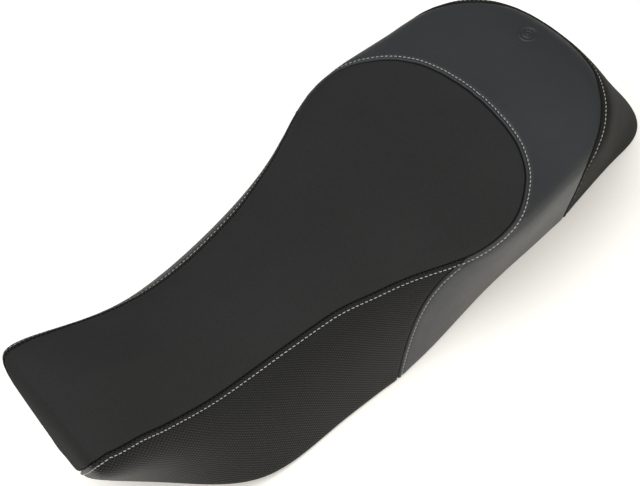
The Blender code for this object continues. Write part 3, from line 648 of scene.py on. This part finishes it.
# ---------------------------------------------------------------- materials
def new_material(name, colour, roughness, metallic=0.0):
    """A Principled material: returns it, its node tree and its shader."""
    mat = bpy.data.materials.new(name)
    mat.use_nodes = True
    shader = mat.node_tree.nodes["Principled BSDF"]
    shader.inputs["Base Color"].default_value = (*colour, 1.0)
    shader.inputs["Roughness"].default_value = roughness
    shader.inputs["Metallic"].default_value = metallic
    return mat, mat.node_tree, shader


def node(tree, kind, **values):
    """A new node, with properties or inputs set by name."""
    made = tree.nodes.new(kind)
    for key, value in values.items():
        if hasattr(made, key):
            setattr(made, key, value)
        else:
            made.inputs[key.replace("_", " ")].default_value = value
    return made


def coordinates(tree):
    """The object's own coordinates, in metres."""
    return tree.nodes.new("ShaderNodeTexCoord").outputs["Object"]


def noise(tree, scale, detail=2.0, rough=0.5):
    """Noise from about 0 to 1; scale is in features for each metre."""
    made = node(tree, "ShaderNodeTexNoise", Scale=scale, Detail=detail, Roughness=rough)
    tree.links.new(coordinates(tree), made.inputs["Vector"])
    return made.outputs["Fac"]


def ranged(tree, source, low, high, new_low, new_high):
    """A value moved from one range to another."""
    made = node(tree, "ShaderNodeMapRange")
    for key, value in zip(("From Min", "From Max", "To Min", "To Max"), (low, high, new_low, new_high)):
        made.inputs[key].default_value = value
    tree.links.new(source, made.inputs["Value"])
    return made.outputs["Result"]


def maths(tree, operation, a, b=0.0):
    """A Math node's result; a and b are sockets or numbers."""
    made = node(tree, "ShaderNodeMath", operation=operation)
    for slot, value in zip(made.inputs, (a, b)):
        if isinstance(value, (int, float)):
            slot.default_value = value
        else:
            tree.links.new(value, slot)
    return made.outputs[0]


def two_tones(tree, shader, share, dark, light):
    """Base colour mixed from a dark and a light tone."""
    ramp = node(tree, "ShaderNodeMix", data_type="RGBA")
    colour_in = [s for s in ramp.inputs if s.type == "RGBA"]
    colour_in[0].default_value = (*dark, 1)
    colour_in[1].default_value = (*light, 1)
    tree.links.new(share, ramp.inputs["Factor"])
    out = [s for s in ramp.outputs if s.type == "RGBA"][0]
    tree.links.new(out, shader.inputs["Base Color"])


def bumped(tree, shader, height, depth, strength=1.0, after=None):
    """Relief of a depth in metres, on top of the relief in after."""
    made = node(tree, "ShaderNodeBump")
    made.inputs["Strength"].default_value = strength
    made.inputs["Distance"].default_value = depth
    tree.links.new(height, made.inputs["Height"])
    if after is not None:
        tree.links.new(after, made.inputs["Normal"])
    tree.links.new(made.outputs["Normal"], shader.inputs["Normal"])
    return made.outputs["Normal"]


def grip_vinyl():
    """Matte vinyl with a very fine suede-like nap."""
    mat, tree, shader = new_material("grip_vinyl", (0.022, 0.023, 0.021), 0.85)
    shader.inputs["Specular IOR Level"].default_value = 0.03
    cloudy = noise(tree, 9.0, 3.0)
    fleck = noise(tree, 700.0, 2.0)
    share = maths(tree, "ADD", maths(tree, "MULTIPLY", cloudy, 0.4),
                  maths(tree, "MULTIPLY", fleck, 0.6))
    two_tones(tree, shader, ranged(tree, share, 0.3, 0.7, 0.0, 1.0),
              (0.022, 0.023, 0.0215), (0.030, 0.0305, 0.029))
    first = bumped(tree, shader, noise(tree, 900.0, 3.0), 0.0002, 0.6)
    bumped(tree, shader, noise(tree, 22.0, 2.0), 0.0006, 0.4, first)
    return mat


def smooth_vinyl(name, dark, light, roughness, gloss):
    """Smooth vinyl with a leather-like grain and a soft sheen."""
    mat, tree, shader = new_material(name, light, roughness)
    shader.inputs["Specular IOR Level"].default_value = gloss
    grain = node(tree, "ShaderNodeTexVoronoi", feature="DISTANCE_TO_EDGE", Scale=900.0)
    tree.links.new(coordinates(tree), grain.inputs["Vector"])
    creases = ranged(tree, grain.outputs["Distance"], 0.0, 0.12, 0.0, 1.0)
    two_tones(tree, shader, noise(tree, 14.0, 4.0), dark, light)
    tree.links.new(ranged(tree, noise(tree, 40.0, 4.0), 0.3, 0.7, roughness - 0.02, roughness + 0.03),
                   shader.inputs["Roughness"])
    first = bumped(tree, shader, creases, 0.00012, 0.5)
    bumped(tree, shader, noise(tree, 45.0, 2.0), 0.0003, 0.2, first)
    return mat


ROW_PITCH = 3.0 * MM         # between rows of lozenges
DOT_PITCH = 3.3 * MM         # along a row
LEAN = (0.76, 0.65)          # the rows lean across the panel by this much


def embossed_vinyl():
    """Vinyl embossed with slanting rows of small raised lozenges; its base colour holds painted shade,
    darker in the hollows between them.
    """
    mat, tree, shader = new_material("embossed_vinyl", (0.03, 0.03, 0.03), 0.5)
    shader.inputs["Specular IOR Level"].default_value = 0.09
    flow = node(tree, "ShaderNodeAttribute", attribute_name="flow")
    split = tree.nodes.new("ShaderNodeSeparateXYZ")
    tree.links.new(flow.outputs["Vector"], split.inputs[0])
    along, down = split.outputs[0], split.outputs[1]
    slant = maths(tree, "SUBTRACT", maths(tree, "MULTIPLY", along, LEAN[0]),
                  maths(tree, "MULTIPLY", down, LEAN[1]))
    cross = maths(tree, "ADD", maths(tree, "MULTIPLY", along, LEAN[1]),
                  maths(tree, "MULTIPLY", down, LEAN[0]))
    rows = maths(tree, "SINE", maths(tree, "MULTIPLY", slant, 2 * math.pi / ROW_PITCH))
    dots = maths(tree, "SINE", maths(tree, "MULTIPLY", cross, 2 * math.pi / DOT_PITCH))
    height = maths(tree, "ADD", rows, maths(tree, "MULTIPLY", dots, 0.8))
    raised = ranged(tree, height, -0.5, 1.5, 0.0, 1.0)
    # painted shade: the base colour is darker in the hollows between the lozenges and lighter on their
    # tops
    two_tones(tree, shader, raised, (0.009, 0.009, 0.0085), (0.026, 0.026, 0.024))
    tree.links.new(ranged(tree, height, -1.0, 1.5, 0.55, 0.36), shader.inputs["Roughness"])
    relief = bumped(tree, shader, raised, 0.00035, 0.9)
    bumped(tree, shader, noise(tree, 30.0, 3.0), 0.0006, 0.3, relief)
    return mat


def thread_material():
    """Pale twisted thread."""
    mat, tree, shader = new_material("stitch_thread", (0.46, 0.45, 0.40), 0.6)
    flow = noise(tree, 1500.0, 2.0)
    two_tones(tree, shader, flow, (0.36, 0.35, 0.31), (0.56, 0.55, 0.50))
    bumped(tree, shader, flow, 0.0002, 0.5)
    return mat


def moulded_plastic():
    """Black plastic with a fine moulded grain."""
    mat, tree, shader = new_material("pan_plastic", (0.02, 0.02, 0.021), 0.55)
    two_tones(tree, shader, noise(tree, 20.0, 4.0), (0.016, 0.016, 0.017), (0.026, 0.026, 0.027))
    tree.links.new(ranged(tree, noise(tree, 60.0, 3.0), 0.3, 0.7, 0.45, 0.62), shader.inputs["Roughness"])
    bumped(tree, shader, noise(tree, 1400.0, 3.0), 0.0002, 0.6)
    return mat


def foam_material():
    """Cream polyurethane foam with open pores."""
    mat, tree, shader = new_material("seat_foam", (0.62, 0.58, 0.46), 0.95)
    two_tones(tree, shader, noise(tree, 60.0, 5.0), (0.52, 0.48, 0.36), (0.68, 0.64, 0.52))
    bumped(tree, shader, noise(tree, 900.0, 3.0), 0.0006, 0.8)
    return mat


def rubber_material():
    """Matte black rubber."""
    mat, tree, shader = new_material("rest_rubber", (0.018, 0.018, 0.018), 0.8)
    two_tones(tree, shader, noise(tree, 90.0, 4.0), (0.013, 0.013, 0.013), (0.026, 0.026, 0.025))
    bumped(tree, shader, noise(tree, 1600.0, 2.0), 0.00015, 0.5)
    return mat


def coated_steel():
    """Steel with a black powder coat."""
    mat, tree, shader = new_material("black_steel", (0.02, 0.02, 0.02), 0.4)
    shader.inputs["Coat Weight"].default_value = 0.3
    two_tones(tree, shader, noise(tree, 70.0, 4.0), (0.015, 0.015, 0.015), (0.028, 0.028, 0.028))
    bumped(tree, shader, noise(tree, 500.0, 2.0), 0.0002, 0.3)
    return mat


def plated_steel():
    """Zinc-plated steel."""
    mat, tree, shader = new_material("plated_steel", (0.62, 0.60, 0.54), 0.35, 1.0)
    two_tones(tree, shader, noise(tree, 120.0, 4.0), (0.50, 0.48, 0.42), (0.70, 0.68, 0.62))
    tree.links.new(ranged(tree, noise(tree, 260.0, 3.0), 0.3, 0.7, 0.28, 0.46), shader.inputs["Roughness"])
    bumped(tree, shader, noise(tree, 800.0, 2.0), 0.0001, 0.3)
    return mat


GRIP = grip_vinyl()
REAR = smooth_vinyl("smooth_vinyl", (0.018, 0.019, 0.020), (0.024, 0.025, 0.026),
                    roughness=0.45, gloss=0.40)
TAIL = smooth_vinyl("tail_vinyl", (0.015, 0.015, 0.0135), (0.020, 0.020, 0.018),
                    roughness=0.60, gloss=0.02)
EMBOSSED = embossed_vinyl()
THREAD = thread_material()
PLASTIC = moulded_plastic()
FOAM = foam_material()
RUBBER = rubber_material()
BLACK_STEEL = coated_steel()
STEEL = plated_steel()

# ---------------------------------------------------------------- the cover
BOTH = (False, True)
centre = panel("centre_cover", [(centre_patch, (False, False, False, True), True, None, None)],
               {"top": PLAIN}, GRIP, BOTH)
left_side = panel("left_side_cover", [(side_patch, (False, True, True, False), True, None, None)],
                  {"top": FOLDED, "flank": PLAIN}, EMBOSSED, (False,))
right_side = panel("right_side_cover", [(side_patch, (False, True, True, False), True, None, None)],
                   {"top": FOLDED, "flank": PLAIN}, EMBOSSED, (True,))
rear = panel("rear_cover", [(wrap_upper_patch, (True, True, True, True), False, 12, wrap_patch),
                            (wrap_lower_patch, (True, True, False, False), True, 12, wrap_patch),
                            (round_patch, (False, False, True, True), False, 12, None)],
             {"top": FOLDED, "flank": FOLDED, "tail": SHALLOW}, REAR, BOTH)
tail = panel("tail_cover", [(tail_patch, (True, False, True, False), True, None, None)],
             {"tail": FOLDED}, TAIL, BOTH)
for piece, cad, slot in ((centre, "centre_panel", "grip_vinyl"),
                         (rear, "rear_panel", "smooth_vinyl"),
                         (tail, "tail_panel", "tail_vinyl"),
                         (left_side, "left_side_panel", "embossed_vinyl"),
                         (right_side, "right_side_panel", "embossed_vinyl")):
    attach(piece, "root")
    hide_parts(cad)


# ---------------------------------------------------------------- stitches
def surface_tree(*objects):
    """A tree for rays against the meshes of some objects."""
    bm = bmesh.new()
    for obj in objects:
        bm.from_mesh(obj.data)
    tree = BVHTree.FromBMesh(bm)
    bm.free()
    return tree


STITCH_PITCH = 4.9 * MM
STITCH_LENGTH = 3.6 * MM
STITCH_RADIUS = 0.43 * MM
STITCH_SIDES = 8
STITCH_LEAN = 6.0            # degrees across the seam, mirrored on the right
STITCH_SWAY = 5.0            # degrees more or less, in a wave along the row
SWAY_STEP = 1.7              # radians of that wave for each stitch
RAY_START = 8 * MM
# A stitch's rings: share of its length, height over the cover and size, both in radii.
STITCH_RINGS = ((-0.50, -1.5, 0.45), (-0.44, -0.3, 0.85), (-0.22, 0.55, 1.0), (0.0, 0.75, 1.0),
                (0.22, 0.55, 1.0), (0.44, -0.3, 0.85), (0.50, -1.5, 0.45))


def stitch_row(name, seam, across_sign, tree, start=0.0, stop=1.0):
    """Top stitches beside a seam, left and right, from one share of its length to another.

    across_sign picks the side of the seam that they are on.
    """
    bm = bmesh.new()
    points, normals, run = seam["p"], seam["n"], seam["run"]
    tangent = np.gradient(points, axis=0)
    tangent /= np.linalg.norm(tangent, axis=1, keepdims=True)
    across = np.cross(normals, tangent) * across_sign
    lane = points + across * STITCH_IN
    lane_run = np.concatenate([[0], np.cumsum(np.linalg.norm(np.diff(lane, axis=0), axis=1))])
    low, high = lane_run[-1] * start, lane_run[-1] * stop
    count = int((high - low) / STITCH_PITCH)
    for mirror in BOTH:
        side = np.array([-1.0 if mirror else 1.0, 1, 1])
        for k in range(count):
            at = low + (k + 0.5) * (high - low) / count
            where = [np.interp(at, lane_run, lane[:, c]) for c in range(3)]
            normal = [np.interp(at, lane_run, normals[:, c]) for c in range(3)]
            ahead = [np.interp(at, lane_run, tangent[:, c]) for c in range(3)]
            place = Vector(where * side)
            up = Vector(normal * side).normalized()
            hit = tree.ray_cast(place + up * RAY_START, -up, 2 * RAY_START)
            if hit[0] is None:
                continue
            forward = Vector(ahead * side)
            forward = (forward - up * forward.dot(up)).normalized()
            beside = up.cross(forward)
            lean = STITCH_LEAN if mirror else -STITCH_LEAN
            sway = math.radians(STITCH_SWAY * math.sin(k * SWAY_STEP) + lean)
            forward = forward * math.cos(sway) + beside * math.sin(sway)
            beside = up.cross(forward)
            rings = []
            for share, lift, size in STITCH_RINGS:
                middle = hit[0] + forward * share * STITCH_LENGTH + up * lift * STITCH_RADIUS
                ring = []
                for s in range(STITCH_SIDES):
                    a = 2 * math.pi * s / STITCH_SIDES
                    reach = STITCH_RADIUS * size
                    spot = middle + beside * math.cos(a) * reach + up * math.sin(a) * reach
                    ring.append(bm.verts.new(spot))
                rings.append(ring)
            for first, second in zip(rings, rings[1:]):
                for s in range(STITCH_SIDES):
                    e = (s + 1) % STITCH_SIDES
                    bm.faces.new((first[s], first[e], second[e], second[s]))
            bm.faces.new(rings[0])
            bm.faces.new(rings[-1][::-1])
    bmesh.ops.recalc_face_normals(bm, faces=bm.faces)
    mesh = bpy.data.meshes.new(name)
    bm.to_mesh(mesh)
    bm.free()
    mesh.materials.append(THREAD)
    mesh.shade_smooth()
    obj = bpy.data.objects.new(name, mesh)
    bpy.context.collection.objects.link(obj)
    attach(obj, "root")


def side_sign(seam, t_step, v_step):
    """Which way across a seam leads to larger t or v."""
    k = len(seam["p"]) // 2
    ahead = seam["p"][k + 1] - seam["p"][k - 1]
    toward = skin(seam["t"][k] + t_step, seam["v"][k] + v_step) - seam["p"][k]
    return 1.0 if np.dot(np.cross(seam["n"][k], ahead), toward) > 0 else -1.0


ALL_COVER = surface_tree(centre, left_side, right_side, rear, tail)
stitch_row("top_stitches", SEAM_TOP, side_sign(SEAM_TOP, 0, 0.02), ALL_COVER, start=0.008)
stitch_row("flank_stitches", SEAM_FLANK, side_sign(SEAM_FLANK, 0.02, 0), ALL_COVER,
           start=0.075, stop=0.99)
stitch_row("tail_stitches", SEAM_TAIL, side_sign(SEAM_TAIL, 0, 0.02), ALL_COVER, start=0.01)

# ---------------------------------------------------------------- round mark
MARK_CENTRE = Vector((-0.019, 0.266, 0.156))
MARK_RADIUS = 11.0 * MM
# distance from the centre as a share of the radius, and height over the cover in mm
MARK_PROFILE = ((0.0, 0.75), (0.16, 0.70), (0.24, 0.15), (0.30, 0.12), (0.36, 0.80),
                (0.42, 0.90), (0.48, 0.80), (0.54, 0.12), (0.70, 0.12), (0.76, 0.90),
                (0.85, 1.05), (0.94, 0.80), (1.0, 0.05), (1.04, -0.35))
MARK_SIDES = 72
MARK_RAY = 30 * MM


def round_mark(tree):
    """A stud in two plain rings, pressed up from the rear panel."""
    bm = bmesh.new()
    rings = []
    for share, lift in MARK_PROFILE:
        ring = []
        for s in range(1 if share == 0 else MARK_SIDES):
            a = 2 * math.pi * s / MARK_SIDES
            start = MARK_CENTRE + Vector((math.cos(a), math.sin(a), 0)) * share * MARK_RADIUS
            hit = tree.ray_cast(start + Vector((0, 0, MARK_RAY)), Vector((0, 0, -1)), 2 * MARK_RAY)
            ring.append(bm.verts.new(hit[0] + hit[1] * lift * MM))
        rings.append(ring)
    for first, second in zip(rings, rings[1:]):
        for s in range(MARK_SIDES):
            e = (s + 1) % MARK_SIDES
            if len(first) == 1:
                bm.faces.new((first[0], second[s], second[e]))
            else:
                bm.faces.new((first[s], second[s], second[e], first[e]))
    mesh = bpy.data.meshes.new("round_mark")
    bm.to_mesh(mesh)
    bm.free()
    mesh.materials.append(REAR)
    mesh.shade_smooth()
    obj = bpy.data.objects.new("round_mark", mesh)
    bpy.context.collection.objects.link(obj)
    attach(obj, "root")


round_mark(surface_tree(rear))

# ---------------------------------------------------------------- foam and fittings
FOAM_VOXEL = 6 * MM
foam = bpy.data.objects.new("foam_block", frame["nodes"]["foam_cushion"].data.copy())
bpy.context.collection.objects.link(foam)
remesh = foam.modifiers.new("remesh", "REMESH")
remesh.mode = "VOXEL"
remesh.voxel_size = FOAM_VOXEL
soften = foam.modifiers.new("soften", "SMOOTH")
soften.iterations = 6
inset = foam.modifiers.new("inset", "DISPLACE")
inset.strength = -COVER
inset.mid_level = 0.0
apply_modifiers(foam)
foam.data.materials.clear()
foam.data.materials.append(FOAM)
foam.data.shade_smooth()
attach(foam, "root")
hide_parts("foam_cushion")

for cad, obj in frame["nodes"].items():
    if cad.startswith("rubber_rest"):
        finish = RUBBER
    elif cad == "seat_pan":
        finish = PLASTIC
    elif cad in ("front_tongue", "striker_plate"):
        finish = BLACK_STEEL
    elif cad.startswith(("tongue_", "striker_")):
        finish = STEEL
    else:
        continue
    obj.data.materials.clear()
    obj.data.materials.append(finish)

# ---------------------------------------------------------------- floor, light, camera
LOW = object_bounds()[0][2]
FLOOR_GAP = 0.2 * MM
bpy.ops.mesh.primitive_plane_add(size=14.0, location=(0, 0, LOW - FLOOR_GAP))
floor = bpy.context.object
floor.name = "floor"
floor_mat, _, floor_shader = new_material("floor", (0.93, 0.915, 0.875), 0.9)
floor_shader.inputs["Specular IOR Level"].default_value = 0.1
floor_shader.inputs["Emission Color"].default_value = (1.0, 0.95, 0.87, 1.0)
floor_shader.inputs["Emission Strength"].default_value = 0.28
floor.data.materials.append(floor_mat)

world = bpy.data.worlds.new("studio")
bpy.context.scene.world = world
world.use_nodes = True
world.node_tree.nodes["Background"].inputs["Color"].default_value = (0.93, 0.96, 1.0, 1.0)
world.node_tree.nodes["Background"].inputs["Strength"].default_value = 0.32


def area_light(name, place, target, size, power, colour):
    """A round soft light at a place, turned to a target."""
    data = bpy.data.lights.new(name, "AREA")
    data.shape = "DISK"
    data.size = size
    data.energy = power
    data.color = colour
    obj = bpy.data.objects.new(name, data)
    bpy.context.collection.objects.link(obj)
    obj.location = place
    obj.rotation_mode = "QUATERNION"
    obj.rotation_quaternion = (Vector(target) - Vector(place)).to_track_quat("-Z", "Y")


area_light("key", (-0.3, -0.8, 2.6), (0, 0, 0), 2.4, 60, (0.97, 0.985, 1.0))
area_light("fill", (2.2, 0.5, 1.0), (0, 0, 0.05), 0.8, 24, (1.0, 0.95, 0.86))

AZIMUTH = math.radians(56.1)
ELEVATION = math.radians(59.2)
ROLL = math.radians(-8.3)
DISTANCE = 1.6
LENS = 75.8                  # in mm, on a 36 mm sensor
BACK = Vector((math.sin(AZIMUTH) * math.cos(ELEVATION), -math.cos(AZIMUTH) * math.cos(ELEVATION),
               math.sin(ELEVATION)))
RIGHT = Vector((math.cos(AZIMUTH), math.sin(AZIMUTH), 0.0))
UP = BACK.cross(RIGHT)
TURNED_RIGHT = RIGHT * math.cos(ROLL) + UP * math.sin(ROLL)
TURNED_UP = -RIGHT * math.sin(ROLL) + UP * math.cos(ROLL)
TARGET = Vector((-0.094, 0.0135, -0.080))
camera_data = bpy.data.cameras.new("camera")
camera_data.sensor_width = 36.0
camera_data.lens = LENS
camera = bpy.data.objects.new("camera", camera_data)
bpy.context.collection.objects.link(camera)
turn = Matrix((TURNED_RIGHT, TURNED_UP, BACK)).transposed().to_4x4()
camera.matrix_world = Matrix.Translation(TARGET + BACK * DISTANCE) @ turn
bpy.context.scene.camera = camera

bpy.context.scene.view_settings.view_transform = "Standard"
